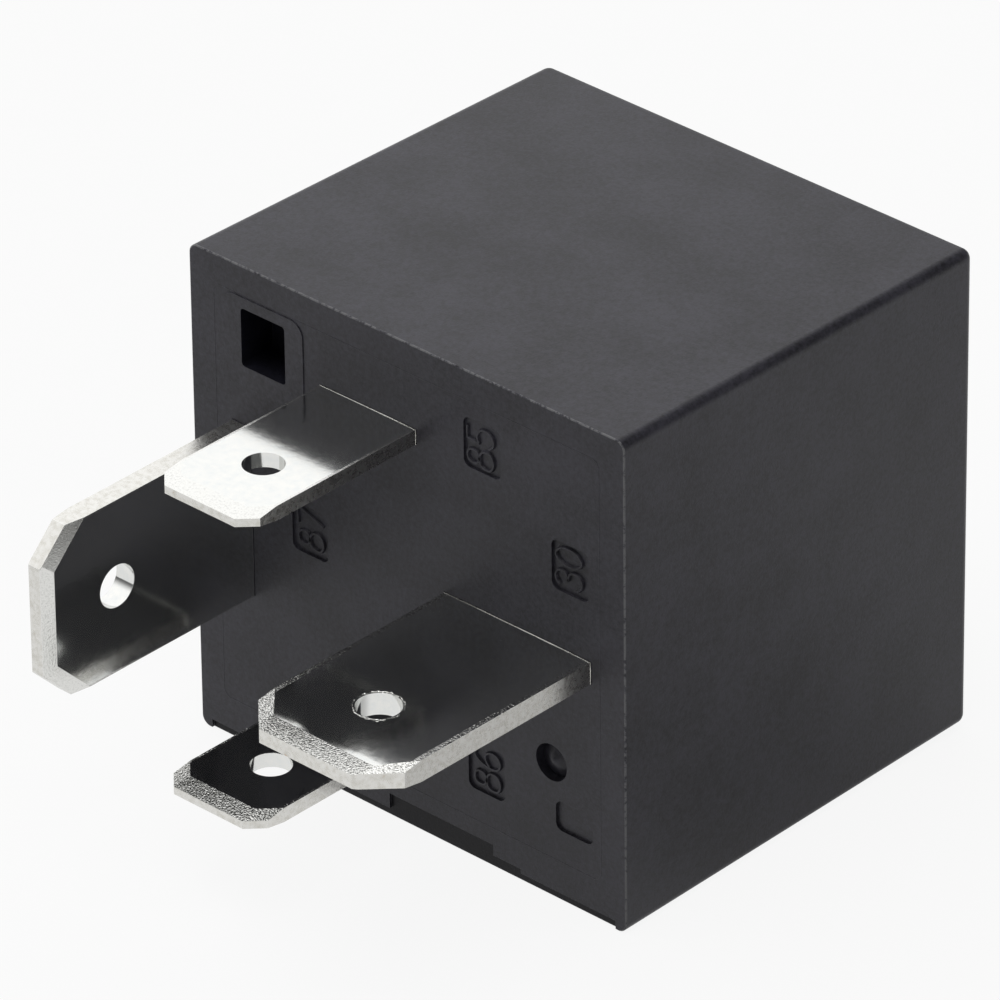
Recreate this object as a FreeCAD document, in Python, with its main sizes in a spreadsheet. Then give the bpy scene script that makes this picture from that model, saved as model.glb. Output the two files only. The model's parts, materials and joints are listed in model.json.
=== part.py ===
import FreeCAD, Part
import os
import re
import sys
import Sketcher

# Plug-in automotive relay with one normally open contact, drawn as it lies on its side, in millimetres.
# The terminal face is the plane y = 0. The terminals point along -Y and the housing lies along +Y.
# X runs across the face from terminal 87 to terminal 30, and Z from terminal 86 to terminal 85.

# Driving dimensions, one spreadsheet cell each
SIZES = {
    # Cover
    "cover_width": 28.4,
    "cover_height": 27.3,
    "cover_depth": 25.15,
    "cover_draft": 0.55,
    "side_wall": 1.6,
    "lower_wall": 2.3,
    "end_wall": 1.2,
    "cover_edge": 0.55,
    "cavity_edge": 0.5,
    "rim_relief_height": 0.5,
    "rim_relief_depth": 0.15,
    "rim_notch_left": -1.4,
    "rim_notch_width": 6.9,
    "rim_notch_height": 1.35,
    "rim_step_width": 1.8,
    "rim_step_height": 0.75,
    # Base
    "base_thickness": 3.0,
    "base_gap": 0.03,
    "base_corner": 0.45,
    "slot_gap": 0.04,
    "rail_height": 1.0,
    "rail_width": 2.6,
    "rail_inset": 0.4,
    "saddle_height": 0.5,
    "saddle_length": 1.2,
    "stop_socket_depth": 1.5,
    # Marks on the terminal face
    "mark_depth": 0.15,
    "mark_corner": 0.4,
    "mark_width": 2.4,
    "mark_height": 2.72,
    "mark_85_side": 7.47,
    "mark_85_lift": 1.1,
    "mark_86_side": 7.52,
    "mark_86_lift": -0.07,
    "mark_30_inset": 1.85,
    "mark_30_lift": 5.15,
    "mark_87_side": 4.5,
    "mark_87_lift": 0.47,
    "blank_mark_inset": 1.7,
    "blank_mark_lift": 2.6,
    "blank_mark_height": 1.65,
    "key_inset": 1.28,
    "key_lift": 1.15,
    "key_width": 2.92,
    "key_height": 3.2,
    "key_depth": 2.1,
    "key_corner": 0.2,
    "frame_inset": 0.55,
    "frame_top_inset": 0.08,
    "frame_width": 5.4,
    "frame_height": 4.95,
    "frame_corner": 0.8,
    "frame_rise": 0.05,
    "vent_inset": 3.17,
    "vent_lift": 5.39,
    "vent_radius": 1.0,
    "vent_straight": 0.75,
    "vent_cone": 0.6,
    # Terminals 85 and 86
    "tab_width": 6.3,
    "tab_thickness": 0.8,
    "tab_length": 11.45,
    "tab_corner": 0.85,
    "tab_bevel_length": 1.0,
    "tab_bevel_depth": 0.18,
    "tab_hole_radius": 1.05,
    "tab_hole_reach": 7.12,
    "tab_offset": 2.87,
    "tab_spacing": 16.8,
    "tab_middle": 0.27,
    "tab_tail_width": 4.0,
    "tab_tail_height": 4.6,
    "tab_post_width": 1.2,
    "tab_post_height": 1.9,
    # Terminals 30 and 87
    "blade_width": 9.5,
    "blade_thickness": 1.2,
    "blade_corner": 1.75,
    "blade_bevel_length": 1.1,
    "blade_bevel_depth": 0.22,
    "blade_hole_radius": 1.15,
    "blade_30_length": 14.5,
    "blade_30_hole_reach": 9.5,
    "blade_30_inset": 0.58,
    "blade_87_length": 14.2,
    "blade_87_bevel_length": 0.75,
    "blade_87_hole_reach": 9.3,
    "blade_87_inset": 1.05,
    "blade_87_z": 0.05,
    "tenon_offset": 1.02,
    "tenon_width": 3.0,
    "shank_width": 5.0,
    "carrier_bend": 0.3,
    "carrier_margin": 0.15,
    "shoulder_side": 0.6,
    "shoulder_height": 1.0,
    # Coil
    "coil_z": 0.15,
    "bobbin_height": 14.0,
    "bobbin_corner": 2.0,
    "bobbin_length": 12.6,
    "flange_thickness": 1.0,
    "bobbin_wall": 0.75,
    "core_radius": 2.9,
    "core_gap": 0.1,
    "core_tail_radius": 2.0,
    "pole_radius": 4.2,
    "pole_thickness": 1.0,
    "winding_margin": 0.7,
    "tape_thickness": 0.12,
    "tape_margin": 1.4,
    "wire_radius": 0.15,
    "wire_turns": 3,
    # Yoke and armature
    "yoke_width": 13.0,
    "yoke_margin": 2.2,
    "yoke_thickness": 1.8,
    "yoke_clearance": 1.1,
    "yoke_toe": 5.5,
    "yoke_bend": 0.5,
    "staking_gap": 0.05,
    "hinge_inset": 0.4,
    "seat_gap": 0.05,
    "armature_width": 11.0,
    "armature_tip_width": 8.6,
    "armature_tip_gap": 3.0,
    "armature_taper": 5.0,
    "armature_heel": 0.1,
    "armature_heel_round": 0.9,
    "armature_thickness": 1.5,
    "opening_angle": 3.0,
    # Contact spring, contacts and rivets
    "spring_thickness": 0.3,
    "spring_width": 6.0,
    "spring_tip_width": 4.2,
    "spring_neck": 5.5,
    "spring_fold": 0.8,
    "spring_leg": 9.6,
    "contact_inset": 2.4,
    "contact_radius": 1.5,
    "contact_shank_radius": 0.8,
    "contact_tail_radius": 1.15,
    "contact_tail_height": 0.4,
    "fixed_head_height": 0.9,
    "moving_head_height": 1.0,
    "contact_dome": 0.15,
    "tip_margin": 0.5,
    "rivet_gap": 0.05,
    "rivet_shank_radius": 0.7,
    "rivet_head_radius": 1.15,
    "rivet_head_height": 0.5,
    "armature_rivet_reach": 3.4,
    "armature_rivet_spacing": 3.4,
    "yoke_rivet_drop": 6.9,
    "yoke_rivet_spacing": 3.6,
    # Armature stop
    "stop_thickness": 0.8,
    "stop_width": 3.0,
    "stop_inset": 1.4,
    "stop_clearance": 0.6,
    "stop_lap": 1.9,
    "stop_bend": 0.4,
    "stop_gap": 0.05,
    # Suppression resistor
    "resistor_radius": 1.15,
    "resistor_waist": 0.95,
    "resistor_cap": 1.3,
    "resistor_slope": 0.52,
    "resistor_length": 6.3,
    "resistor_gap": 0.05,
    "resistor_clearance": 0.75,
    "resistor_wire_radius": 0.3,
    "resistor_wire_lap": 1.4,
}

# Places that follow from the driving dimensions
PLACES = {
    "half_width": "cover_width / 2",
    "half_height": "cover_height / 2",
    "cavity_right": "half_width - side_wall",
    "cavity_top": "half_height - side_wall",
    "cavity_bottom": "-half_height + lower_wall",
    "base_right": "cavity_right - base_gap",
    "base_top": "cavity_top - base_gap",
    "base_bottom": "cavity_bottom + base_gap",
    "cover_lean": "cover_depth * tan(cover_draft * 1deg)",
    "frame_left": "frame_inset - base_right",
    "frame_bottom": "base_top - frame_top_inset - frame_height",
    "key_x": "frame_left + key_inset + key_width / 2",
    "key_z": "frame_bottom + key_lift + key_height / 2",
    "vent_x": "base_right - vent_inset",
    "vent_z": "base_bottom + vent_lift",
    "blade_30_x": "base_right - blade_30_inset - blade_width / 2",
    "blade_87_x": "blade_87_inset + blade_thickness / 2 - base_right",
    "tenon_x": "blade_30_x - tenon_offset",
    "yoke_foot": "base_thickness + rail_height",
    "yoke_seat": "yoke_foot + yoke_thickness",
    "pole_seat": "yoke_seat + bobbin_length",
    "pole_face": "pole_seat + pole_thickness",
    "yoke_outside": "cavity_right - yoke_margin",
    "yoke_inside": "yoke_outside - yoke_thickness",
    "resistor_x": "blade_87_x + blade_thickness / 2 + resistor_clearance + resistor_radius",
    "bobbin_left": "resistor_x + resistor_radius + resistor_clearance",
    "bobbin_right": "yoke_inside - yoke_clearance",
    "bobbin_width": "bobbin_right - bobbin_left",
    "coil_x": "(bobbin_left + bobbin_right) / 2",
    "winding_radius": "min(bobbin_width; bobbin_height) / 2 - winding_margin",
    "tape_radius": "winding_radius + tape_thickness",
    "bobbin_bore": "core_radius + core_gap",
    "bobbin_tube": "bobbin_bore + bobbin_wall",
    "winding_start": "yoke_seat + flange_thickness",
    "winding_end": "pole_seat - flange_thickness",
    "yoke_left": "coil_x - yoke_toe",
    "yoke_lower": "coil_z - yoke_width / 2",
    "hinge_x": "yoke_outside - hinge_inset",
    "hinge_y": "pole_face + seat_gap",
    "contact_x": "blade_87_x + contact_inset",
    "contact_reach": "hinge_x - contact_x",
    "armature_reach": "contact_reach - armature_tip_gap",
    "fixed_contact_face": "hinge_y + armature_thickness - moving_head_height - seat_gap",
    "carrier_top": "fixed_contact_face - fixed_head_height",
    "tab_x": "coil_x - tab_offset",
    "tab_85_z": "tab_middle + tab_spacing / 2",
    "tab_86_z": "tab_middle - tab_spacing / 2",
    "tab_tail_top": "base_thickness + tab_tail_height",
    "tab_post_x": "(tab_tail_width - tab_post_width) / 2",
    "mark_85_x": "tab_x + mark_85_side",
    "mark_85_z": "tab_85_z + mark_85_lift",
    "mark_86_x": "tab_x + mark_86_side",
    "mark_86_z": "tab_86_z + mark_86_lift",
    "mark_30_x": "base_right - mark_30_inset",
    "mark_30_z": "coil_z + mark_30_lift",
    "mark_87_x": "blade_87_x + mark_87_side",
    "mark_87_z": "blade_87_z + mark_87_lift",
    "blank_mark_x": "base_right - blank_mark_inset",
    "blank_mark_z": "base_bottom + blank_mark_lift",
    "rise": "sin(opening_angle * 1deg)",
    "level": "cos(opening_angle * 1deg)",
    "stop_x": "hinge_x - armature_reach + stop_inset",
    "stop_inside": "tab_85_z + tab_thickness / 2 + stop_clearance",
    "stop_under": "hinge_y + armature_reach * rise + armature_thickness * level + stop_gap",
    "stop_tip": "coil_z + armature_width / 2 - stop_lap",
    "resistor_y": "base_thickness + saddle_height + resistor_gap + resistor_radius",
    "lead_y": "tab_tail_top + 2 * wire_radius",
    "post_radius": "sqrt(tab_post_width * tab_post_width + tab_thickness * tab_thickness) / 2",
    "wrap_radius": "post_radius + wire_radius / 4",
}

# The origin planes whose normal points down their axis
BACKWARD_PLANES = ("XZ_Plane",)

# How far a corner may stand from the place where an edge is looked for
TOLERANCE = 0.01

document = FreeCAD.newDocument("Relay")
sheet = document.addObject("Spreadsheet::Sheet", "Sizes")
for row, (size_name, size_value) in enumerate(SIZES.items(), start=1):
    sheet.set("A%d" % row, size_name)
    sheet.set("B%d" % row, str(size_value))
    sheet.setAlias("B%d" % row, size_name)
document.recompute()
parts = []


def formula(text):
    # A formula in plain names becomes one that reads the spreadsheet
    def spell(match):
        word = match.group(0)
        if word in PLACES:
            return "(%s)" % formula(PLACES[word])
        return "Sizes.%s" % word if word in SIZES else word

    return re.sub(r"[A-Za-z_]\w*", spell, str(text))


def value(text):
    result = sheet.evalExpression(formula(text))
    return float(getattr(result, "Value", result))


def bind(item, setting, text):
    item.setExpression(setting, formula(text))


def place(item, x=0, y=0, z=0, axis=None, angle=0):
    if axis:
        item.Placement = FreeCAD.Placement(FreeCAD.Vector(), FreeCAD.Rotation(FreeCAD.Vector(*axis), 1))
        bind(item, "Placement.Rotation.Angle", angle)
    for letter, text in zip("xyz", (x, y, z)):
        bind(item, "Placement.Base.%s" % letter, text)


def new_body(name):
    body = document.addObject("PartDesign::Body", name)
    body.Label = name
    parts.append(body)
    return body


def sketch_on(body, plane, name, start=0):
    sketch = body.newObject("Sketcher::SketchObject", "%s_%s" % (body.Name, name))
    support = [item for item in body.Origin.OriginFeatures if item.Role == plane][0]
    sketch.AttachmentSupport = (support, [""])
    sketch.MapMode = "FlatFace"
    sign = "-" if plane in BACKWARD_PLANES else ""
    bind(sketch, "AttachmentOffset.Base.z", "%s(%s)" % (sign, start))
    return sketch


def pin_point(sketch, geometry, point, across, up):
    for kind, text in (("DistanceX", across), ("DistanceY", up)):
        index = sketch.addConstraint(Sketcher.Constraint(kind, -1, 1, geometry, point, value(text)))
        bind(sketch, "Constraints[%d]" % index, text)


def add_polygon(sketch, corners):
    points = [FreeCAD.Vector(value(across), value(up), 0) for across, up in corners]
    count = len(points)
    first = sketch.GeometryCount
    for i in range(count):
        sketch.addGeometry(Part.LineSegment(points[i], points[(i + 1) % count]), False)
    for i in range(count):
        after = first + (i + 1) % count
        sketch.addConstraint(Sketcher.Constraint("Coincident", first + i, 2, after, 1))
        pin_point(sketch, first + i, 1, *corners[i])


def add_rectangle(sketch, left, right, bottom, top):
    add_polygon(sketch, [(left, bottom), (right, bottom), (right, top), (left, top)])


def add_circle(sketch, across, up, radius):
    centre = FreeCAD.Vector(value(across), value(up), 0)
    circle = Part.Circle(centre, FreeCAD.Vector(0, 0, 1), value(radius))
    geometry = sketch.addGeometry(circle, False)
    pin_point(sketch, geometry, 3, across, up)
    index = sketch.addConstraint(Sketcher.Constraint("Radius", geometry, value(radius)))
    bind(sketch, "Constraints[%d]" % index, radius)


def feature(body, kind, name, sketch):
    item = body.newObject("PartDesign::%s" % kind, "%s_%s" % (body.Name, name))
    item.Profile = sketch
    return item


def raise_pad(body, name, sketch, height):
    # A pad always grows along the positive axis from its sketch
    pad = feature(body, "Pad", name, sketch)
    pad.Reversed = sketch.AttachmentSupport[0][0].Role in BACKWARD_PLANES
    bind(pad, "Length", height)
    return pad


def sink_pocket(body, name, sketch, depth=None):
    # A pocket always cuts along the positive axis from its sketch, right through where no depth is given
    pocket = feature(body, "Pocket", name, sketch)
    pocket.Reversed = sketch.AttachmentSupport[0][0].Role not in BACKWARD_PLANES
    if depth is None:
        pocket.Type = "ThroughAll"
    else:
        bind(pocket, "Length", depth)
    return pocket


def turn(body, kind, name, sketch, axis="V_Axis"):
    # Revolution or Groove about one of the sketch's own axes
    item = feature(body, kind, name, sketch)
    item.ReferenceAxis = (sketch, [axis])
    item.Angle = 360
    return item


def edges_where(item, test):
    # Names of the edges whose ends and middle all pass the test
    document.recompute()
    names = []
    for index, edge in enumerate(item.Shape.Edges, start=1):
        middle = edge.valueAt((edge.FirstParameter + edge.LastParameter) / 2)
        if all(test(point) for point in [vertex.Point for vertex in edge.Vertexes] + [middle]):
            names.append("Edge%d" % index)
    return names


def add_bent_wire(body, radius, bend, level, finish, side):
    # A leg along Z from the origin, a slanted stretch for the bend, and a run along X at that level
    route = sketch_on(body, "XZ_Plane", "route")
    corners = [("0", "0"), ("0", "%s - %s * %s" % (level, side, bend)), (bend, level), (finish, level)]
    points = [FreeCAD.Vector(value(across), value(up), 0) for across, up in corners]
    for i in range(len(corners) - 1):
        sketch_line = route.addGeometry(Part.LineSegment(points[i], points[i + 1]), False)
        pin_point(route, sketch_line, 1, *corners[i])
        if i:
            route.addConstraint(Sketcher.Constraint("Coincident", sketch_line - 1, 2, sketch_line, 1))
    pin_point(route, len(corners) - 2, 2, *corners[-1])
    section = sketch_on(body, "XY_Plane", "section")
    add_circle(section, 0, 0, radius)
    wire = feature(body, "AdditivePipe", "wire", section)
    wire.Spine = (route, [])
    wire.Transition = "Right corner"


def add_wedge(body, kind, name, left, right, bottom, top, depth):
    # A block whose four sides lean inwards from the terminal face by the cover's draft
    wedge = body.newObject("PartDesign::%sWedge" % kind, "%s_%s" % (body.Name, name))
    lean = "(%s) * tan(cover_draft * 1deg)" % depth
    for setting, text in (
        ("Xmin", left), ("Xmax", right), ("Zmin", bottom), ("Zmax", top), ("Ymin", "0"), ("Ymax", depth),
        ("X2min", "%s + %s" % (left, lean)), ("X2max", "%s - %s" % (right, lean)),
        ("Z2min", "%s + %s" % (bottom, lean)), ("Z2max", "%s - %s" % (top, lean)),
    ):
        bind(wedge, setting, text)
    return wedge


def near(number, text):
    return abs(number - value(text)) < TOLERANCE


def between(number, low, high):
    return value(low) - TOLERANCE < number < value(high) + TOLERANCE


def round_edges(body, name, item, radius, test):
    fillet = body.newObject("PartDesign::Fillet", "%s_%s" % (body.Name, name))
    fillet.Base = (item, edges_where(item, test))
    bind(fillet, "Radius", radius)
    return fillet


def bevel_edges(body, name, item, size, test):
    chamfer = body.newObject("PartDesign::Chamfer", "%s_%s" % (body.Name, name))
    chamfer.Base = (item, edges_where(item, test))
    bind(chamfer, "Size", size)
    return chamfer


# Cover: a drafted box, open at the terminal face
def make_cover():
    body = new_body("cover")
    block = add_wedge(
        body, "Additive", "block", "-half_width", "half_width", "-half_height", "half_height", "cover_depth"
    )
    round_edges(
        body, "edges", block, "cover_edge",
        lambda p: near(p.y, "cover_depth")
        or between(abs(p.x), "half_width - cover_lean", "half_width")
        and between(abs(p.z), "half_height - cover_lean", "half_height"),
    )
    cavity = add_wedge(
        body, "Subtractive", "cavity",
        "-cavity_right", "cavity_right", "cavity_bottom", "cavity_top", "cover_depth - end_wall",
    )
    round_edges(
        body, "cavity_edges", cavity, "cavity_edge",
        lambda p: near(p.y, "cover_depth - end_wall")
        or between(abs(p.x), "cavity_right - cover_lean", "cavity_right")
        and (between(p.z, "cavity_top - cover_lean", "cavity_top")
             or between(p.z, "cavity_bottom", "cavity_bottom + cover_lean")),
    )
    # The lower rim has a relief along its edge, a notch and a step
    relief_end = "half_width - cover_edge - rim_relief_depth"
    relief = sketch_on(body, "XZ_Plane", "relief")
    add_polygon(relief, [
        ("-(%s)" % relief_end, "-half_height"),
        (relief_end, "-half_height"),
        (relief_end, "-half_height + rim_relief_height"),
        ("rim_notch_left + rim_notch_width + rim_step_width", "-half_height + rim_relief_height"),
        ("rim_notch_left + rim_notch_width + rim_step_width", "-half_height + rim_step_height"),
        ("rim_notch_left + rim_notch_width", "-half_height + rim_step_height"),
        ("rim_notch_left + rim_notch_width", "-half_height + rim_notch_height"),
        ("rim_notch_left", "-half_height + rim_notch_height"),
        ("rim_notch_left", "-half_height + rim_relief_height"),
        ("-(%s)" % relief_end, "-half_height + rim_relief_height"),
    ])
    sink_pocket(body, "rim_relief", relief, "rim_relief_depth")


# Base: the terminal plate with its slots, marks and inner supports
def make_base():
    body = new_body("base")
    plate = add_wedge(
        body, "Additive", "plate", "-base_right", "base_right", "base_bottom", "base_top", "base_thickness"
    )
    round_edges(
        body, "corners", plate, "base_corner",
        lambda p: between(abs(p.x), "base_right - cover_lean", "base_right")
        and (between(p.z, "base_top - cover_lean", "base_top")
             or between(p.z, "base_bottom", "base_bottom + cover_lean")),
    )
    frame = sketch_on(body, "XZ_Plane", "frame", "-frame_rise")
    add_rectangle(
        frame, "frame_left", "frame_left + frame_width", "frame_bottom", "frame_bottom + frame_height"
    )
    raised = raise_pad(body, "frame", frame, "frame_rise + mark_depth")
    round_edges(
        body, "frame_corners", raised, "frame_corner",
        lambda p: between(p.y, "-frame_rise", "0")
        and (near(p.x, "frame_left") or near(p.x, "frame_left + frame_width"))
        and (near(p.z, "frame_bottom") or near(p.z, "frame_bottom + frame_height")),
    )
    rails = sketch_on(body, "XZ_Plane", "rails", "base_thickness")
    for side in ("-1", "1"):
        middle = "coil_z + %s * (yoke_width / 2 - rail_inset - rail_width / 2)" % side
        add_rectangle(
            rails, "yoke_left", "yoke_inside - yoke_bend",
            "%s - rail_width / 2" % middle, "%s + rail_width / 2" % middle,
        )
    raise_pad(body, "rails", rails, "rail_height")
    saddles = sketch_on(body, "XZ_Plane", "saddles", "base_thickness")
    for side in ("-1", "1"):
        middle = "coil_z + %s * (resistor_length / 2 - saddle_length)" % side
        add_rectangle(
            saddles, "resistor_x - resistor_radius / 2", "resistor_x + resistor_radius / 2",
            "%s - saddle_length / 2" % middle, "%s + saddle_length / 2" % middle,
        )
    raise_pad(body, "saddles", saddles, "saddle_height")
    cut_slots(body)
    cut_marks(body)
    socket = sketch_on(body, "XZ_Plane", "stop_socket", "base_thickness - stop_socket_depth")
    add_rectangle(
        socket,
        "stop_x - stop_width / 2 - slot_gap", "stop_x + stop_width / 2 + slot_gap",
        "stop_inside - slot_gap", "stop_inside + stop_thickness + slot_gap",
    )
    sink_pocket(body, "stop_socket", socket, "stop_socket_depth")


def cut_slots(body):
    slots = sketch_on(body, "XZ_Plane", "slots", "-frame_rise")
    for height in ("tab_85_z", "tab_86_z"):
        add_slot(slots, "tab_x", height, "tab_width", "tab_thickness")
    add_slot(slots, "blade_30_x", "coil_z", "blade_width", "blade_thickness")
    add_slot(slots, "blade_87_x", "blade_87_z", "blade_thickness", "blade_width")
    sink_pocket(body, "slots", slots)


def add_slot(sketch, across, up, width, height, gap="slot_gap"):
    add_rectangle(
        sketch,
        "%s - %s / 2 - %s" % (across, width, gap), "%s + %s / 2 + %s" % (across, width, gap),
        "%s - %s / 2 - %s" % (up, height, gap), "%s + %s / 2 + %s" % (up, height, gap),
    )


def at_corner(point, across, up, width, height):
    beside = near(abs(point.x - value(across)), "%s / 2" % width)
    return beside and near(abs(point.z - value(up)), "%s / 2" % height)


def cut_marks(body):
    # Shallow fields for the terminal numbers, one of them bare
    marks = sketch_on(body, "XZ_Plane", "marks")
    fields = [
        ("mark_%s_x" % name, "mark_%s_z" % name, "mark_width", "mark_height")
        for name in ("85", "86", "30", "87")
    ]
    fields.append(("blank_mark_x", "blank_mark_z", "mark_width", "blank_mark_height"))
    for field in fields:
        add_slot(marks, *field, "0")
    sunk = sink_pocket(body, "marks", marks, "mark_depth")
    round_edges(
        body, "mark_corners", sunk, "mark_corner",
        lambda p: between(p.y, "0", "mark_depth") and any(at_corner(p, *field) for field in fields),
    )
    key = sketch_on(body, "XZ_Plane", "key", "-frame_rise")
    key_field = ("key_x", "key_z", "key_width", "key_height")
    add_slot(key, *key_field, "0")
    well = sink_pocket(body, "key", key, "key_depth + frame_rise")
    round_edges(
        body, "key_corners", well, "key_corner",
        lambda p: between(p.y, "-frame_rise", "key_depth") and at_corner(p, *key_field),
    )
    vent = sketch_on(body, "XY_Plane", "vent", "vent_z")
    add_polygon(vent, [
        ("vent_x", 0),
        ("vent_x + vent_radius", 0),
        ("vent_x + vent_radius", "vent_straight"),
        ("vent_x", "vent_straight + vent_cone"),
    ])
    hole = feature(body, "Groove", "vent", vent)
    hole.ReferenceAxis = (vent, ["Edge4"])
    hole.Angle = 360


# Terminals: stamped blades, drawn flat with the width along X and the thickness along Z
def tip_corners(width, length, corner):
    return [
        ("%s / 2" % width, 0),
        ("%s / 2" % width, "%s - %s" % (corner, length)),
        ("%s / 2 - %s" % (width, corner), "-%s" % length),
        ("%s - %s / 2" % (corner, width), "-%s" % length),
        ("-%s / 2" % width, "%s - %s" % (corner, length)),
        ("-%s / 2" % width, 0),
    ]


def finish_blade(body, thickness, length, hole_radius, hole_reach, bevel_length, bevel_depth):
    hole = sketch_on(body, "XY_Plane", "detent", "-%s / 2" % thickness)
    add_circle(hole, 0, "-%s" % hole_reach, hole_radius)
    sink_pocket(body, "detent", hole)
    bevels = sketch_on(body, "YZ_Plane", "bevels", "-blade_width")
    for side in ("", "-"):
        add_polygon(bevels, [
            ("-%s" % length, "%s(%s / 2)" % (side, thickness)),
            ("-%s" % length, "%s(%s / 2 - %s)" % (side, thickness, bevel_depth)),
            ("%s - %s" % (bevel_length, length), "%s(%s / 2)" % (side, thickness)),
        ])
    sink_pocket(body, "bevels", bevels)


def add_blank(body, corners, thickness):
    blank = sketch_on(body, "XY_Plane", "blank", "-%s / 2" % thickness)
    add_polygon(blank, corners)
    raise_pad(body, "blank", blank, thickness)


def make_coil_terminal(name, height):
    body = new_body(name)
    shoulder = "tab_width / 2 + shoulder_side"
    post_left = "tab_post_x - tab_post_width / 2"
    corners = tip_corners("tab_width", "tab_length", "tab_corner")
    corners += [
        ("-tab_width / 2", "base_thickness"),
        ("-(%s)" % shoulder, "base_thickness"),
        ("-(%s)" % shoulder, "base_thickness + shoulder_height"),
        ("-tab_tail_width / 2", "base_thickness + shoulder_height"),
        ("-tab_tail_width / 2", "tab_tail_top"),
        (post_left, "tab_tail_top"),
        (post_left, "tab_tail_top + tab_post_height"),
        ("tab_tail_width / 2", "tab_tail_top + tab_post_height"),
        ("tab_tail_width / 2", "base_thickness + shoulder_height"),
        (shoulder, "base_thickness + shoulder_height"),
        (shoulder, "base_thickness"),
        ("tab_width / 2", "base_thickness"),
    ]
    add_blank(body, corners, "tab_thickness")
    finish_blade(
        body, "tab_thickness", "tab_length", "tab_hole_radius", "tab_hole_reach",
        "tab_bevel_length", "tab_bevel_depth",
    )
    place(body, "tab_x", 0, height)


def make_terminal_30():
    # A tenon at the inner end passes through the yoke and is staked there
    body = new_body("terminal_30")
    shoulder = "blade_width / 2 + shoulder_side / 2"
    tenon = "tenon_x - blade_30_x"
    corners = tip_corners("blade_width", "blade_30_length", "blade_corner")
    corners += [
        ("-blade_width / 2", "base_thickness"),
        ("-(%s)" % shoulder, "base_thickness"),
        ("-(%s)" % shoulder, "yoke_foot"),
        ("%s - tenon_width / 2" % tenon, "yoke_foot"),
        ("%s - tenon_width / 2" % tenon, "yoke_seat"),
        ("%s + tenon_width / 2" % tenon, "yoke_seat"),
        ("%s + tenon_width / 2" % tenon, "yoke_foot"),
        ("yoke_inside - blade_30_x", "yoke_foot"),
        ("yoke_inside - blade_30_x", "base_thickness + shoulder_height / 2"),
        (shoulder, "base_thickness + shoulder_height / 2"),
        (shoulder, "base_thickness"),
        ("blade_width / 2", "base_thickness"),
    ]
    add_blank(body, corners, "blade_thickness")
    finish_blade(
        body, "blade_thickness", "blade_30_length", "blade_hole_radius", "blade_30_hole_reach",
        "blade_bevel_length", "blade_bevel_depth",
    )
    place(body, "blade_30_x", 0, "coil_z")


def make_terminal_87():
    # The shank rises beside the coil and bends over to carry the fixed contact
    body = new_body("terminal_87")
    shoulder = "blade_width / 2 + shoulder_side"
    shank = "coil_z - blade_87_z"
    corners = tip_corners("blade_width", "blade_87_length", "blade_corner")
    corners += [
        ("-blade_width / 2", "base_thickness"),
        ("-(%s)" % shoulder, "base_thickness"),
        ("-(%s)" % shoulder, "base_thickness + shoulder_height"),
        ("%s - shank_width / 2" % shank, "base_thickness + shoulder_height"),
        ("%s - shank_width / 2" % shank, "carrier_top"),
        ("%s + shank_width / 2" % shank, "carrier_top"),
        ("%s + shank_width / 2" % shank, "base_thickness + shoulder_height"),
        (shoulder, "base_thickness + shoulder_height"),
        (shoulder, "base_thickness"),
        ("blade_width / 2", "base_thickness"),
    ]
    add_blank(body, corners, "blade_thickness")
    carrier = sketch_on(body, "YZ_Plane", "carrier", "%s - shank_width / 2" % shank)
    carrier_under = "carrier_top - blade_thickness"
    carrier_end = "blade_87_x - contact_x - contact_radius - carrier_margin"
    add_rectangle(carrier, carrier_under, "carrier_top", carrier_end, "blade_thickness / 2")
    shelf = raise_pad(body, "carrier", carrier, "shank_width")
    bend = round_edges(
        body, "outer_bend", shelf, "carrier_bend + blade_thickness",
        lambda p: near(p.y, "carrier_top") and near(p.z, "blade_thickness / 2"),
    )
    round_edges(
        body, "inner_bend", bend, "carrier_bend",
        lambda p: near(p.y, carrier_under) and near(p.z, "-blade_thickness / 2"),
    )
    rivet_hole = sketch_on(body, "XZ_Plane", "rivet_hole", carrier_under + " - carrier_bend")
    add_circle(rivet_hole, shank, "blade_87_x - contact_x", "contact_shank_radius + rivet_gap")
    sink_pocket(body, "rivet_hole", rivet_hole)
    finish_blade(
        body, "blade_thickness", "blade_87_length", "blade_hole_radius", "blade_87_hole_reach",
        "blade_87_bevel_length", "blade_bevel_depth",
    )
    place(body, "blade_87_x", 0, "blade_87_z", axis=(0, -1, 0), angle=90)


# Coil: revolved about the local Y axis and placed on the coil's axis
def make_core():
    body = new_body("core")
    half = sketch_on(body, "XY_Plane", "half")
    add_polygon(half, [
        (0, "yoke_foot"),
        ("core_tail_radius", "yoke_foot"),
        ("core_tail_radius", "yoke_seat"),
        ("core_radius", "yoke_seat"),
        ("core_radius", "pole_seat"),
        ("pole_radius", "pole_seat"),
        ("pole_radius", "pole_face"),
        (0, "pole_face"),
    ])
    turn(body, "Revolution", "turned", half)
    place(body, "coil_x", 0, "coil_z")


def make_bobbin():
    body = new_body("bobbin")
    half = sketch_on(body, "XY_Plane", "tube")
    add_rectangle(half, "bobbin_bore", "bobbin_tube", "yoke_seat", "pole_seat")
    turn(body, "Revolution", "tube", half)
    for name, start in (("lower", "yoke_seat"), ("upper", "winding_end")):
        outline = sketch_on(body, "XZ_Plane", "%s_flange" % name, start)
        add_slot(outline, "0", "0", "bobbin_width", "bobbin_height", "0")
        add_circle(outline, 0, 0, "bobbin_bore")
        flange = raise_pad(body, "%s_flange" % name, outline, "flange_thickness")
    round_edges(
        body, "corners", flange, "bobbin_corner",
        lambda p: near(abs(p.x), "bobbin_width / 2") and near(abs(p.z), "bobbin_height / 2"),
    )
    place(body, "coil_x", 0, "coil_z")


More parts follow.
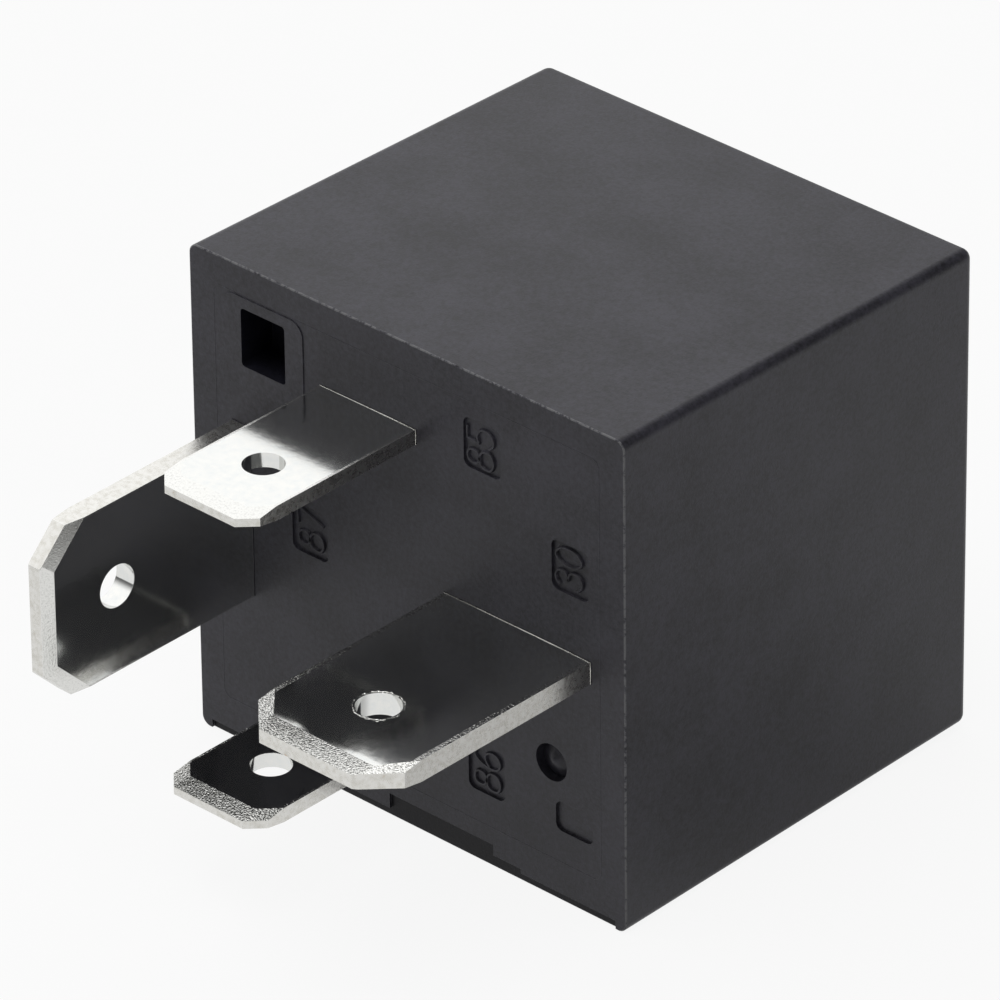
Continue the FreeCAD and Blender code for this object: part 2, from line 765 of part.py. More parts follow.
def make_sleeve(name, inner, outer, start, end):
    body = new_body(name)
    half = sketch_on(body, "XY_Plane", "half")
    add_rectangle(half, inner, outer, start, end)
    turn(body, "Revolution", "wound", half)
    place(body, "coil_x", 0, "coil_z")


def make_coil_lead(name, height, side):
    # The wire leaves the winding below the tape, runs to the terminal's post and is wound round it
    body = new_body(name)
    wrap = sketch_on(body, "XY_Plane", "wrap")
    wrap_middle = "wrap_radius + wire_radius"
    wrap_length = "2 * wire_radius * wire_turns"
    add_polygon(wrap, [
        ("wrap_radius", "-wire_radius"),
        (wrap_middle, "-wire_radius"),
        (wrap_middle + " + wire_radius", 0),
        (wrap_middle + " + wire_radius", wrap_length + " - 2 * wire_radius"),
        (wrap_middle, wrap_length + " - wire_radius"),
        ("wrap_radius", wrap_length + " - wire_radius"),
    ])
    turn(body, "Revolution", "wrap", wrap)
    # Where the wire stands clear of the round winding
    aside = "tab_x + tab_post_x + %s - coil_x" % wrap_middle
    surface = "sqrt(winding_radius * winding_radius - (%s) * (%s))" % (aside, aside)
    length = "%s * (%s - coil_z) - %s - rivet_gap" % (side, height, surface)
    leg = sketch_on(body, "XY_Plane", "leg", "0" if side == "-1" else "-(%s)" % length)
    add_circle(leg, wrap_middle, 0, "wire_radius")
    raise_pad(body, "leg", leg, length)
    place(body, "tab_x + tab_post_x", "lead_y", height)


# Suppression resistor across the coil terminals
def make_resistor():
    body = new_body("suppression_resistor")
    half = sketch_on(body, "YZ_Plane", "half")
    end = "resistor_length / 2"
    add_polygon(half, [
        (0, "-%s" % end),
        ("resistor_radius", "-%s" % end),
        ("resistor_radius", "resistor_cap - %s" % end),
        ("resistor_waist", "resistor_cap + resistor_slope - %s" % end),
        ("resistor_waist", "%s - resistor_cap - resistor_slope" % end),
        ("resistor_radius", "%s - resistor_cap" % end),
        ("resistor_radius", end),
        (0, end),
    ])
    turn(body, "Revolution", "body", half)
    place(body, "resistor_x", "resistor_y", "coil_z")


def make_resistor_lead(name, height, side):
    body = new_body(name)
    start = "coil_z + %s * resistor_length / 2" % side
    level = "%s - %s * (tab_thickness / 2 + resistor_wire_radius) - (%s)" % (height, side, start)
    finish = "tab_x - tab_tail_width / 2 + resistor_wire_lap - resistor_x"
    add_bent_wire(
        body, "resistor_wire_radius", "2 * resistor_wire_radius", level, finish, side
    )
    place(body, "resistor_x", "resistor_y", start)


# Yoke: an L of thick strip with the core and terminal 30 staked into its foot
def make_yoke():
    body = new_body("yoke")
    side = sketch_on(body, "XY_Plane", "side", "yoke_lower")
    add_polygon(side, [
        ("yoke_left", "yoke_foot"),
        ("yoke_outside", "yoke_foot"),
        ("yoke_outside", "pole_face"),
        ("yoke_inside", "pole_face"),
        ("yoke_inside", "yoke_seat"),
        ("yoke_left", "yoke_seat"),
    ])
    strip = raise_pad(body, "strip", side, "yoke_width")
    bend = round_edges(
        body, "outer_bend", strip, "yoke_bend + yoke_thickness",
        lambda p: near(p.x, "yoke_outside") and near(p.y, "yoke_foot"),
    )
    round_edges(
        body, "inner_bend", bend, "yoke_bend",
        lambda p: near(p.x, "yoke_inside") and near(p.y, "yoke_seat"),
    )
    foot = sketch_on(body, "XZ_Plane", "foot_holes", "yoke_foot")
    add_circle(foot, "coil_x", "coil_z", "core_tail_radius + staking_gap")
    add_slot(foot, "tenon_x", "coil_z", "tenon_width", "blade_thickness", "staking_gap")
    sink_pocket(body, "foot_holes", foot, "yoke_thickness")
    leg = sketch_on(body, "YZ_Plane", "rivet_holes", "yoke_inside")
    for along in ("coil_z - yoke_rivet_spacing / 2", "coil_z + yoke_rivet_spacing / 2"):
        add_circle(leg, "pole_face - yoke_rivet_drop", along, "rivet_shank_radius + rivet_gap")
    sink_pocket(body, "rivet_holes", leg)


# Armature and what it carries: drawn closed from the hinge line, then opened by their placement
def place_open(body):
    place(body, "hinge_x", "hinge_y", "coil_z", axis=(0, 0, -1), angle="opening_angle")


def make_armature():
    body = new_body("armature")
    taper_start = "armature_taper - armature_reach"
    outline = sketch_on(body, "XZ_Plane", "outline")
    add_polygon(outline, [
        ("armature_heel", "-armature_width / 2"),
        ("armature_heel", "armature_width / 2"),
        (taper_start, "armature_width / 2"),
        ("-armature_reach", "armature_tip_width / 2"),
        ("-armature_reach", "-armature_tip_width / 2"),
        (taper_start, "-armature_width / 2"),
    ])
    plate = raise_pad(body, "plate", outline, "armature_thickness")
    bevel_edges(
        body, "heel", plate, "armature_heel_round",
        lambda p: near(p.x, "armature_heel") and near(p.y, "armature_thickness"),
    )
    holes = sketch_on(body, "XZ_Plane", "rivet_holes")
    for along in ("-armature_rivet_spacing / 2", "armature_rivet_spacing / 2"):
        add_circle(holes, "-armature_rivet_reach", along, "rivet_shank_radius + rivet_gap")
    sink_pocket(body, "rivet_holes", holes)
    place_open(body)


def make_armature_rivets():
    body = new_body("armature_rivets")
    spring_top = "armature_thickness + spring_thickness"
    for kind, radius, start, height in (
        ("shanks", "rivet_shank_radius", "0", spring_top),
        ("heads", "rivet_head_radius", spring_top, "rivet_head_height"),
    ):
        circles = sketch_on(body, "XZ_Plane", kind, start)
        for along in ("-armature_rivet_spacing / 2", "armature_rivet_spacing / 2"):
            add_circle(circles, "-armature_rivet_reach", along, radius)
        raise_pad(body, kind, circles, height)
    place_open(body)


def make_yoke_rivets():
    body = new_body("yoke_rivets")
    spring_outside = "yoke_outside + spring_thickness"
    for kind, radius, start, height in (
        ("shanks", "rivet_shank_radius", "yoke_inside", "yoke_thickness + spring_thickness"),
        ("heads", "rivet_head_radius", spring_outside, "rivet_head_height"),
    ):
        circles = sketch_on(body, "YZ_Plane", kind, start)
        for along in ("-yoke_rivet_spacing / 2", "yoke_rivet_spacing / 2"):
            add_circle(circles, "pole_face - yoke_rivet_drop", along, radius)
        raise_pad(body, kind, circles, height)
    place(body, 0, 0, "coil_z")


# Contact spring: one strip, riveted to the armature and folded down the outside of the yoke
def make_contact_spring():
    body = new_body("contact_spring")
    tip = "contact_reach + contact_radius + tip_margin"
    fold_under = "hinge_y + armature_thickness / level - hinge_inset * rise / level"
    outer_rise = "(armature_thickness + spring_thickness)"
    fold_over = "hinge_y + %s / level - (hinge_inset + spring_thickness) * rise / level" % outer_rise
    leg_end = "pole_face - spring_leg"
    side = sketch_on(body, "XY_Plane", "side", "coil_z - spring_width / 2")
    add_polygon(side, [
        ("yoke_outside", leg_end),
        ("yoke_outside", fold_under),
        ("hinge_x - (%s) * level + armature_thickness * rise" % tip,
         "hinge_y + (%s) * rise + armature_thickness * level" % tip),
        ("hinge_x - (%s) * level + %s * rise" % (tip, outer_rise),
         "hinge_y + (%s) * rise + %s * level" % (tip, outer_rise)),
        ("yoke_outside + spring_thickness", fold_over),
        ("yoke_outside + spring_thickness", leg_end),
    ])
    strip = raise_pad(body, "strip", side, "spring_width")
    fold = round_edges(
        body, "inner_fold", strip, "spring_fold",
        lambda p: near(p.x, "yoke_outside") and near(p.y, fold_under),
    )
    round_edges(
        body, "outer_fold", fold, "spring_fold + spring_thickness",
        lambda p: near(p.x, "yoke_outside + spring_thickness") and near(p.y, fold_over),
    )
    sides = sketch_on(body, "XZ_Plane", "tip_sides", "carrier_top")
    beyond = "contact_x - contact_radius - 2 * tip_margin"
    for edge in ("1", "-1"):
        outer = "coil_z + %s * (spring_width / 2 + spring_thickness)" % edge
        inner = "coil_z + %s * spring_tip_width / 2" % edge
        add_polygon(sides, [
            (beyond, inner),
            ("contact_x + spring_neck - 2 * tip_margin", inner),
            ("contact_x + spring_neck", outer),
            (beyond, outer),
        ])
    sink_pocket(body, "tip_sides", sides)
    holes = sketch_on(body, "XZ_Plane", "holes", "carrier_top")
    middle = "(armature_thickness + spring_thickness / 2)"
    for along in ("coil_z - armature_rivet_spacing / 2", "coil_z + armature_rivet_spacing / 2"):
        across = "hinge_x - armature_rivet_reach * level + %s * rise" % middle
        add_circle(holes, across, along, "rivet_shank_radius + rivet_gap")
    across = "hinge_x - contact_reach * level + %s * rise" % middle
    add_circle(holes, across, "coil_z", "contact_shank_radius + rivet_gap")
    sink_pocket(body, "holes", holes)
    leg_holes = sketch_on(body, "YZ_Plane", "leg_holes", "yoke_outside")
    for along in ("coil_z - yoke_rivet_spacing / 2", "coil_z + yoke_rivet_spacing / 2"):
        add_circle(leg_holes, "pole_face - yoke_rivet_drop", along, "rivet_shank_radius + rivet_gap")
    sink_pocket(body, "leg_holes", leg_holes)


# Contacts: rivets of silver alloy, turned about the local Y axis, the face pointing up
def contact_half(head_height, grip):
    return [
        (0, "-%s - contact_tail_height" % grip),
        ("contact_tail_radius", "-%s - contact_tail_height" % grip),
        ("contact_tail_radius", "-%s" % grip),
        ("contact_shank_radius", "-%s" % grip),
        ("contact_shank_radius", 0),
        ("contact_radius", 0),
        ("contact_radius", "%s - contact_dome" % head_height),
        ("contact_radius - 3 * contact_dome", head_height),
        (0, head_height),
    ]


def make_fixed_contact():
    body = new_body("fixed_contact")
    half = sketch_on(body, "XY_Plane", "half")
    add_polygon(half, contact_half("fixed_head_height", "blade_thickness"))
    turn(body, "Revolution", "headed", half)
    place(body, "contact_x", "carrier_top", "coil_z")


def make_moving_contact():
    # Drawn with its face down, from the hinge line
    body = new_body("moving_contact")
    half = sketch_on(body, "XY_Plane", "half")
    corners = contact_half("moving_head_height", "spring_thickness")
    add_polygon(half, [
        ("%s - contact_reach" % across, "armature_thickness - (%s)" % up) for across, up in corners
    ])
    headed = feature(body, "Revolution", "headed", half)
    headed.ReferenceAxis = (half, ["Edge%d" % len(corners)])
    headed.Angle = 360
    place_open(body)


# Armature stop: a bent strip that stands in the base and reaches over the armature
def make_armature_stop():
    body = new_body("armature_stop")
    side = sketch_on(body, "YZ_Plane", "side", "stop_x - stop_width / 2")
    add_polygon(side, [
        ("base_thickness - stop_socket_depth", "stop_inside"),
        ("base_thickness - stop_socket_depth", "stop_inside + stop_thickness"),
        ("stop_under + stop_thickness", "stop_inside + stop_thickness"),
        ("stop_under + stop_thickness", "stop_tip"),
        ("stop_under", "stop_tip"),
        ("stop_under", "stop_inside"),
    ])
    strip = raise_pad(body, "strip", side, "stop_width")
    bend = round_edges(
        body, "outer_bend", strip, "stop_bend + stop_thickness",
        lambda p: near(p.y, "stop_under + stop_thickness") and near(p.z, "stop_inside + stop_thickness"),
    )
    round_edges(
        body, "inner_bend", bend, "stop_bend",
        lambda p: near(p.y, "stop_under") and near(p.z, "stop_inside"),
    )


make_cover()
make_base()
make_coil_terminal("terminal_85", "tab_85_z")
make_coil_terminal("terminal_86", "tab_86_z")
make_terminal_30()
make_terminal_87()
make_fixed_contact()
make_moving_contact()
make_contact_spring()
make_armature()
make_armature_rivets()
make_yoke_rivets()
make_yoke()
make_core()
make_bobbin()
make_sleeve("coil_winding", "bobbin_tube", "winding_radius", "winding_start", "winding_end")
make_sleeve(
    "coil_tape", "winding_radius", "tape_radius",
    "winding_start + tape_margin", "winding_end - tape_margin / 2",
)
make_coil_lead("coil_lead_85", "tab_85_z", "1")
make_coil_lead("coil_lead_86", "tab_86_z", "-1")
make_resistor()
make_resistor_lead("resistor_lead_85", "tab_85_z", "1")
make_resistor_lead("resistor_lead_86", "tab_86_z", "-1")
make_armature_stop()
document.recompute()

faults = [
    item.Name for item in document.Objects
    if "Invalid" in item.State or "Error" in item.State
]
faults += [
    part.Label for part in parts
    if part.Shape.isNull() or not part.Shape.isValid()
]
if faults:
    sys.exit("These objects failed: " + ", ".join(faults))

os.makedirs("parts", exist_ok=True)
for part in parts:
    part.Shape.exportStep("parts/%s.step" % part.Label)
print("%d sub-parts written" % len(parts))
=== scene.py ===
import bmesh
import bpy
import json
import math
import random
from mathutils import Matrix, Vector

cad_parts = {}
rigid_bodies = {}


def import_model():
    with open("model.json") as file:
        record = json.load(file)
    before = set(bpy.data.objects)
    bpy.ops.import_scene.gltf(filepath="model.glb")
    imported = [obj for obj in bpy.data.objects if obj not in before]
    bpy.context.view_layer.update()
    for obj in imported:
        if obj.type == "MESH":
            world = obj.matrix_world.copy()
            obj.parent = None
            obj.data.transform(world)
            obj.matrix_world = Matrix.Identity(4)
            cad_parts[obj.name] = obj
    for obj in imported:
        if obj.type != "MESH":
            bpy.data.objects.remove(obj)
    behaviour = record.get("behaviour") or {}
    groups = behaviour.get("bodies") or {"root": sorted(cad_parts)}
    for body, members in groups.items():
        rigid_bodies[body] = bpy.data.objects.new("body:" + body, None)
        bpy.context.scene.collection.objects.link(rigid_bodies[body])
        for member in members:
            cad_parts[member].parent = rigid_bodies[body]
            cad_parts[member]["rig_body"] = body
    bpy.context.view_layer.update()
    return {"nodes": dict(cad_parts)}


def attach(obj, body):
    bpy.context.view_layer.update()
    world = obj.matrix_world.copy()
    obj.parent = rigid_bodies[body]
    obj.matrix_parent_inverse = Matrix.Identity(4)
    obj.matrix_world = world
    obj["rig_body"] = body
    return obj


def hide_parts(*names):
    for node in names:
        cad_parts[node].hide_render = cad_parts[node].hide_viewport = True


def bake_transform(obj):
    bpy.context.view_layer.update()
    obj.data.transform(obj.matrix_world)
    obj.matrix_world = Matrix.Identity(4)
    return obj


# Plug-in automotive relay, lying on its side: the terminals point to -Y and the housing runs to +Y
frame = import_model()
nodes = frame["nodes"]
mm = 0.001
print("relay: frame loaded,", len(nodes), "parts")


def hexToLinear(hexColour):
    channels = [int(hexColour[i:i + 2], 16) / 255 for i in (1, 3, 5)]
    return tuple(c / 12.92 if c <= 0.04045 else ((c + 0.055) / 1.055) ** 2.4 for c in channels) + (1.0,)


# A node with its numbers, links and settings; stops are the colours of a ramp
def addNode(tree, kind, values={}, links={}, stops=(), **settings):
    node = tree.nodes.new(kind)
    for setting, choice in settings.items():
        setattr(node, setting, choice)
    for socket, number in values.items():
        node.inputs[socket].default_value = number
    for socket, (source, output) in links.items():
        tree.links.new(source.outputs[output], node.inputs[socket])
    if stops:
        elements = node.color_ramp.elements
        elements[0].position, elements[1].position = stops[0][0], stops[-1][0]
        for position, _ in stops[1:-1]:
            elements.new(position)
        for element, (_, colour) in zip(elements, stops):
            element.color = hexToLinear(colour)
    return node


# Noise whose grains have a real size in mm
def grainsOf(size, detail=3.0, roughness=0.6):
    return {"Scale": 1 / (size * mm), "Detail": detail, "Roughness": roughness}


def startFinish(name, values):
    finish = bpy.data.materials.new(name)
    finish.use_nodes = True
    tree = finish.node_tree
    tree.nodes.clear()
    place = addNode(tree, "ShaderNodeTexCoord")
    shader = addNode(tree, "ShaderNodeBsdfPrincipled", values)
    addNode(tree, "ShaderNodeOutputMaterial", links={"Surface": (shader, "BSDF")})
    return finish, tree, {"Vector": (place, "Object")}, shader


# Colours from one pattern, roughness from another, and a relief from a third
def finishSurface(tree, shader, tintFrom, stops, blurFrom, blur, bumpFrom, depth, strength=0.5):
    tint = addNode(tree, "ShaderNodeValToRGB", links={"Fac": tintFrom}, stops=stops)
    tree.links.new(tint.outputs["Color"], shader.inputs["Base Color"])
    sheen = addNode(
        tree, "ShaderNodeMapRange", {"To Min": blur[0], "To Max": blur[1]}, {"Value": (blurFrom, "Fac")},
    )
    tree.links.new(sheen.outputs["Result"], shader.inputs["Roughness"])
    bump = addNode(
        tree, "ShaderNodeBump", {"Strength": strength, "Distance": depth * mm},
        {"Height": (bumpFrom, "Fac")},
    )
    tree.links.new(bump.outputs["Normal"], shader.inputs["Normal"])


# Materials

# PBT with glass fibre, moulded against a spark-eroded cavity: a matt black skin with a fine even grain,
# slightly cloudy where the fibres lie near the surface
pbt = {
    "low": "#1e1d22",
    "high": "#38373f",
    # the broken edges' grey, partly wear and partly a painted highlight
    "rubbedAndLit": "#6a6a6c",
    "roughness": (0.36, 0.48),
    "specular": 0.24,  # the eroded pits trap part of the gloss
    "cloud": 4.0,  # mm
    "cloudShare": 0.8,
    "mottle": 0.28,  # mm
    "grain": 0.11,  # mm, the real grit is nearer 0.04 and wouldn't show
    "grainShare": 0.6,
    "grainHeight": 0.02,
    "range": (0.95, 1.45),  # where the three patterns together go from low to high
}


def mouldedPbt(name, low, high, rubbedAndLit=None, specular=pbt["specular"]):
    finish, tree, place, shader = startFinish(name, {"IOR": 1.57, "Specular IOR Level": specular})
    cloud = addNode(tree, "ShaderNodeTexNoise", grainsOf(pbt["cloud"], 4.0), place)
    mottle = addNode(tree, "ShaderNodeTexNoise", grainsOf(pbt["mottle"], 2.0), place)
    grain = addNode(tree, "ShaderNodeTexNoise", grainsOf(pbt["grain"], 2.0), place)
    fine = addNode(
        tree, "ShaderNodeMath", {1: pbt["grainShare"]}, {0: (grain, "Fac"), 2: (mottle, "Fac")},
        operation="MULTIPLY_ADD",
    )
    blotch = addNode(
        tree, "ShaderNodeMath", {1: pbt["cloudShare"]}, {0: (cloud, "Fac"), 2: (fine, "Value")},
        operation="MULTIPLY_ADD",
    )
    spread = addNode(
        tree, "ShaderNodeMapRange", {"From Min": pbt["range"][0], "From Max": pbt["range"][1]},
        {"Value": (blotch, "Value")},
    )
    # The third stop greys the broken edges: partly wear, partly a painted highlight
    stops = [(0.0, low), (0.25, high), (0.6, rubbedAndLit)] if rubbedAndLit else [(0.0, low), (1.0, high)]
    finishSurface(
        tree, shader, (spread, "Result"), stops, mottle, pbt["roughness"], grain, pbt["grainHeight"],
    )
    return finish


# Tinned brass in three states, by how the metal was worked
tin = {
    "pale": "#e2e2df",
    "dark": "#dadcdb",
    "haze": 0.4,  # mm
    "hazeHeight": 0.0022,
    "faceRoughness": (0.08, 0.14),
    "grit": 0.10,  # mm, granules on the coined bevels, drawn coarser than the real 0.05
    "gritLow": "#9c9c98",
    "gritHeight": 0.035,
    "gritRoughness": (0.08, 0.16),
    "satinLow": "#d6d6d3",
    "satinHeight": 0.008,
    "satinRoughness": (0.18, 0.26),
    "brass": "#b98a55",
    "tearLow": "#c6c4bd",
    "tearHigh": "#dddcd8",
    "tear": 0.30,  # mm, tears on the sheared edges
    "tearHeight": 0.014,
    "tearRoughness": (0.20, 0.36),
}


# Rolled bright and stamped: flat faces mirror what stands round them, and a faint haze frays the image
def stampedTin(name):
    finish, tree, place, shader = startFinish(name, {"Metallic": 1.0})
    haze = addNode(tree, "ShaderNodeTexNoise", grainsOf(tin["haze"], 5.0), place)
    stops = [(0.3, tin["dark"]), (0.65, tin["pale"])]
    finishSurface(
        tree, shader, (haze, "Fac"), stops, haze, tin["faceRoughness"], haze, tin["hazeHeight"], 1.0,
    )
    return finish


# Coined in the stamping tool: a worn tool leaves coarse bright granules, a fresh one a satin skin
def coinedTin(name, low, height, roughness):
    finish, tree, place, shader = startFinish(name, {"Metallic": 1.0})
    grit = addNode(tree, "ShaderNodeTexNoise", grainsOf(tin["grit"], 1.0), place)
    stops = [(0.32, low), (0.5, tin["pale"])]
    finishSurface(tree, shader, (grit, "Fac"), stops, grit, roughness, grit, height, 1.0)
    return finish


# Sheared: short tears run over the cut edge, with a trace of bare brass
def shearedTin(name):
    finish, tree, place, shader = startFinish(name, {"Metallic": 1.0})
    tear = addNode(tree, "ShaderNodeTexNoise", grainsOf(tin["tear"]), place)
    stops = [(0.20, tin["brass"]), (0.27, tin["tearLow"]), (0.60, tin["tearHigh"])]
    finishSurface(
        tree, shader, (tear, "Fac"), stops, tear, tin["tearRoughness"], tear, tin["tearHeight"], 0.6,
    )
    return finish


# One recipe for the plain metals and plastics inside: a base tint that wanders a little over a fine relief.
# The grain is in mm, and a stretch below 1 draws it out along that axis
def plainFinish(name, low, high, grain, height, roughness, metallic=0.0, stretch=(1, 1, 1), **sockets):
    finish, tree, place, shader = startFinish(name, {"Metallic": metallic, **sockets})
    scaled = addNode(tree, "ShaderNodeMapping", {"Scale": tuple(s / (grain * mm) for s in stretch)}, place)
    pattern = addNode(
        tree, "ShaderNodeTexNoise", {"Scale": 1.0, "Detail": 3.0, "Roughness": 0.55},
        {"Vector": (scaled, "Vector")},
    )
    blur = (roughness - 0.06, roughness + 0.06)
    finishSurface(
        tree, shader, (pattern, "Fac"), [(0.3, low), (0.7, high)], pattern, blur, pattern, height, 0.4,
    )
    return finish


coverPlastic = mouldedPbt("PBT glass filled moulded", pbt["low"], pbt["high"])
# Handling wears the grain off the rim's edge, and a painted highlight lies along the broken edges: both turn
# them grey in places
rubbedAndLitPlastic = mouldedPbt("PBT glass filled rubbed edge", pbt["low"], pbt["high"], pbt["rubbedAndLit"])
# The relief along the lower rim lies in its own shade, and that shade is painted into its colour: a nearly
# black skin with less gloss
reliefPaintedShade = mouldedPbt("PBT glass filled relief painted shade", "#0c0b0f", "#1a191d", specular=0.12)
# Painted shade in the square pocket: its faces are coloured nearly black and given less gloss
pocketPaintedShade = mouldedPbt("PBT glass filled pocket painted shade", "#14141a", "#1d1d26", specular=0.12)
tinFace = stampedTin("Tinned brass rolled face")
tinCoined = coinedTin("Tinned brass coined bevel", tin["gritLow"], tin["gritHeight"], tin["gritRoughness"])
tinSatin = coinedTin(
    "Tinned brass coined bevel satin", tin["satinLow"], tin["satinHeight"], tin["satinRoughness"],
)
tinSheared = shearedTin("Tinned brass sheared edge")
print("relay: outside materials made")

# Finishes of the parts inside, one for each material slot
insideFinishes = {
    # Silver alloy, cold headed: a soft white shine without a pattern
    "contact_silver": plainFinish("Silver alloy headed", "#d8d6d0", "#ecebe6", 0.3, 0.002, 0.22, 1.0),
    # Zinc plated strip: bluish grey, streaked the way it was rolled
    "plated_steel": plainFinish(
        "Steel strip zinc plated", "#a9adb0", "#c4c8cb", 0.5, 0.003, 0.32, 1.0, (1, 0.15, 1),
    ),
    # Soft iron from the lathe: warm grey with rings round its length
    "core_iron": plainFinish("Soft iron turned", "#9d9c98", "#b5b4b0", 0.3, 0.003, 0.34, 1.0, (0.1, 2, 0.1)),
    # Copper rivets, headed: reddish and a little uneven
    "rivet_copper": plainFinish("Copper headed", "#b56f4f", "#c98463", 0.4, 0.003, 0.3, 1.0),
    # Phosphor bronze, cold rolled: golden, with long fine streaks
    "spring_bronze": plainFinish(
        "Phosphor bronze rolled", "#b08757", "#c79d69", 0.3, 0.002, 0.28, 1.0, (1, 0.12, 1),
    ),
    # Copper wire under clear enamel: deep orange with a glossy coat
    "winding_copper": plainFinish(
        "Copper wire enamelled", "#a4532c", "#c06c3a", 0.6, 0.002, 0.28, 0.6, **{"Coat Weight": 0.6}
    ),
    # Drawn copper wire, tinned: bright and nearly smooth
    "tinned_wire": plainFinish("Copper wire tinned", "#c2c2be", "#dcdcd8", 0.4, 0.002, 0.24, 1.0),
    # Natural nylon, moulded: creamy and half matt
    "bobbin_nylon": plainFinish("Nylon natural moulded", "#cfc8b4", "#ddd7c6", 1.4, 0.004, 0.45),
    # Polyester film: an even yellow with a soft gloss
    "coil_tape": plainFinish("Polyester film yellow", "#b99a3c", "#cdb054", 2.0, 0.002, 0.3),
    # Lacquer, dipped: blue grey, glossy, with the runs of the dip
    "resistor_lacquer": plainFinish("Lacquer dipped blue grey", "#5d7f8f", "#6f93a3", 1.2, 0.004, 0.3),
}
print("relay: inside materials made")


def addPiece(name, data, materials, body):
    piece = bpy.data.objects.new(name, data)
    bpy.context.scene.collection.objects.link(piece)
    for material in materials:
        data.materials.append(material)
    if body:
        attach(piece, body)
    return piece


# How finely the CAD faces are taken over
meshing = {
    "weld": 0.0005,  # mm
    "flat": 0.5,  # degrees
    "crisp": 28,  # degrees, the least angle that counts as an edge
}


# A part's own faces, welded and joined into clean flats, ready for finer work
def startWork(node):
    work = bmesh.new()
    work.from_mesh(nodes[node].data)
    bmesh.ops.remove_doubles(work, verts=work.verts, dist=meshing["weld"] * mm)
    bmesh.ops.dissolve_limit(
        work, angle_limit=math.radians(meshing["flat"]), verts=work.verts, edges=work.edges,
    )
    return work


# Smooth over curves and crisp over corners sharper than the angle
def endWork(work, name, crisp):
    for face in work.faces:
        face.smooth = True
    for edge in work.edges:
        edge.smooth = edge.calc_face_angle(0) < math.radians(crisp)
    mesh = bpy.data.meshes.new(name)
    work.to_mesh(mesh)
    work.free()
    return mesh


# Cuts every face that a plane crosses, and can take off what lies beyond it
def cutAlong(work, place, facing, takeOff=False):
    bmesh.ops.bisect_plane(
        work, geom=work.verts[:] + work.edges[:] + work.faces[:], plane_co=place, plane_no=facing,
        clear_outer=takeOff,
    )


# The worked faces take the part's place, with their edges broken to the given width in mm
def finerPart(
    node, name, work, materials, width, segments=2, edgeMaterial=0, weigh=None, crisp=meshing["crisp"],
):
    sharp = math.radians(meshing["crisp"])
    if weigh:
        weights = work.edges.layers.float.new("bevel_weight_edge")
        for edge in work.edges:
            if edge.calc_face_angle(0) > sharp:
                edge[weights] = weigh(edge.verts[0].co / mm, edge.verts[1].co / mm)
    piece = addPiece(name, endWork(work, name, crisp), materials, nodes[node]["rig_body"])
    bevel = piece.modifiers.new("brokenEdges", "BEVEL")
    bevel.width = width * mm
    bevel.segments = segments
    bevel.limit_method = "WEIGHT" if weigh else "ANGLE"
    bevel.angle_limit = sharp
    bevel.harden_normals = True
    bevel.material = edgeMaterial
    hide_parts(node)
    return piece


# Housing: the moulded parts with their edges broken, as the mould leaves them
housing = {
    "coverEdge": 0.10,
    "coverSegments": 3,
    "innerEdge": 0.15,  # share of the cover's edge
    "baseEdge": 0.03,
    "rimHalfWidth": 13.9,
    "rimHalfHeight": 13.3,
    "relief": ((-14, 0.1, -13.7), (14, 0.2, -12.0)),  # box round the faces of the relief on the lower rim, which take the painted shade
    # box round the faces of the pocket, which take the painted shade
    "pocket": ((-10.8, 0.2, 8.0), (-7.7, 2.2, 11.4)),
}


def weighCover(start, end):
    width, height = housing["rimHalfWidth"], housing["rimHalfHeight"]
    onRim = all(abs(point.x) > width or abs(point.z) > height for point in (start, end))
    return 1.0 if onRim else housing["innerEdge"]


# Every face whose middle lies in the box takes the material
def paintFaces(work, box, index):
    for face in work.faces:
        if all(a <= m <= b for a, m, b in zip(box[0], face.calc_center_median() / mm, box[1])):
            face.material_index = index


work = startWork("cover")
# The relief's faces take slot 2, the painted shade of the lower rim
paintFaces(work, housing["relief"], 2)
# The cover's broken edges take slot 1, worn grey with a painted highlight
finerPart(
    "cover", "cover_moulding", work, [coverPlastic, rubbedAndLitPlastic, reliefPaintedShade],
    housing["coverEdge"], housing["coverSegments"], 1, weighCover,
)
work = startWork("base")
# The pocket's faces take slot 2, the painted shade of the pocket
paintFaces(work, housing["pocket"], 2)
finerPart(
    "base", "base_moulding", work, [coverPlastic, coverPlastic, pocketPaintedShade],
    housing["baseEdge"],
)


# Closed smooth tube through the points; swell makes it thicker or thinner at each of them
def makeBead(name, points, radius, material, swell=None):
    bead = bpy.data.curves.new(name, "CURVE")
    bead.dimensions = "3D"
    bead.bevel_depth = radius * mm
    bead.bevel_resolution = 2
    loop = bead.splines.new("POLY")
    loop.points.add(len(points) - 1)
    loop.use_cyclic_u = True
    for knot, point, share in zip(loop.points, points, swell or [1.0] * len(points)):
        knot.co = (*(Vector(point) * mm), 1)
        knot.radius = share
    return addPiece(name, bead, [material], "housing")


# Resin closes the joint between base and cover, so that it shows as a faint line only
joint = {
    "side": 12.585,
    "bottom": -11.335,
    "top": 12.035,
    "corner": 0.47,
    "cornerSteps": 8,
    "radius": 0.045,
    "level": 0.033,
}
jointLine = []
left, right = joint["corner"] - joint["side"], joint["side"] - joint["corner"]
low, high = joint["bottom"] + joint["corner"], joint["top"] - joint["corner"]
for quarter, (x, z) in enumerate(((right, high), (left, high), (left, low), (right, low))):
    for i in range(joint["cornerSteps"] + 1):
        turned = math.radians(90 * quarter + 90 * i / joint["cornerSteps"])
        jointLine.append((
            x + joint["corner"] * math.cos(turned), joint["level"], z + joint["corner"] * math.sin(turned),
        ))
makeBead("joint_resin", jointLine, joint["radius"], coverPlastic)

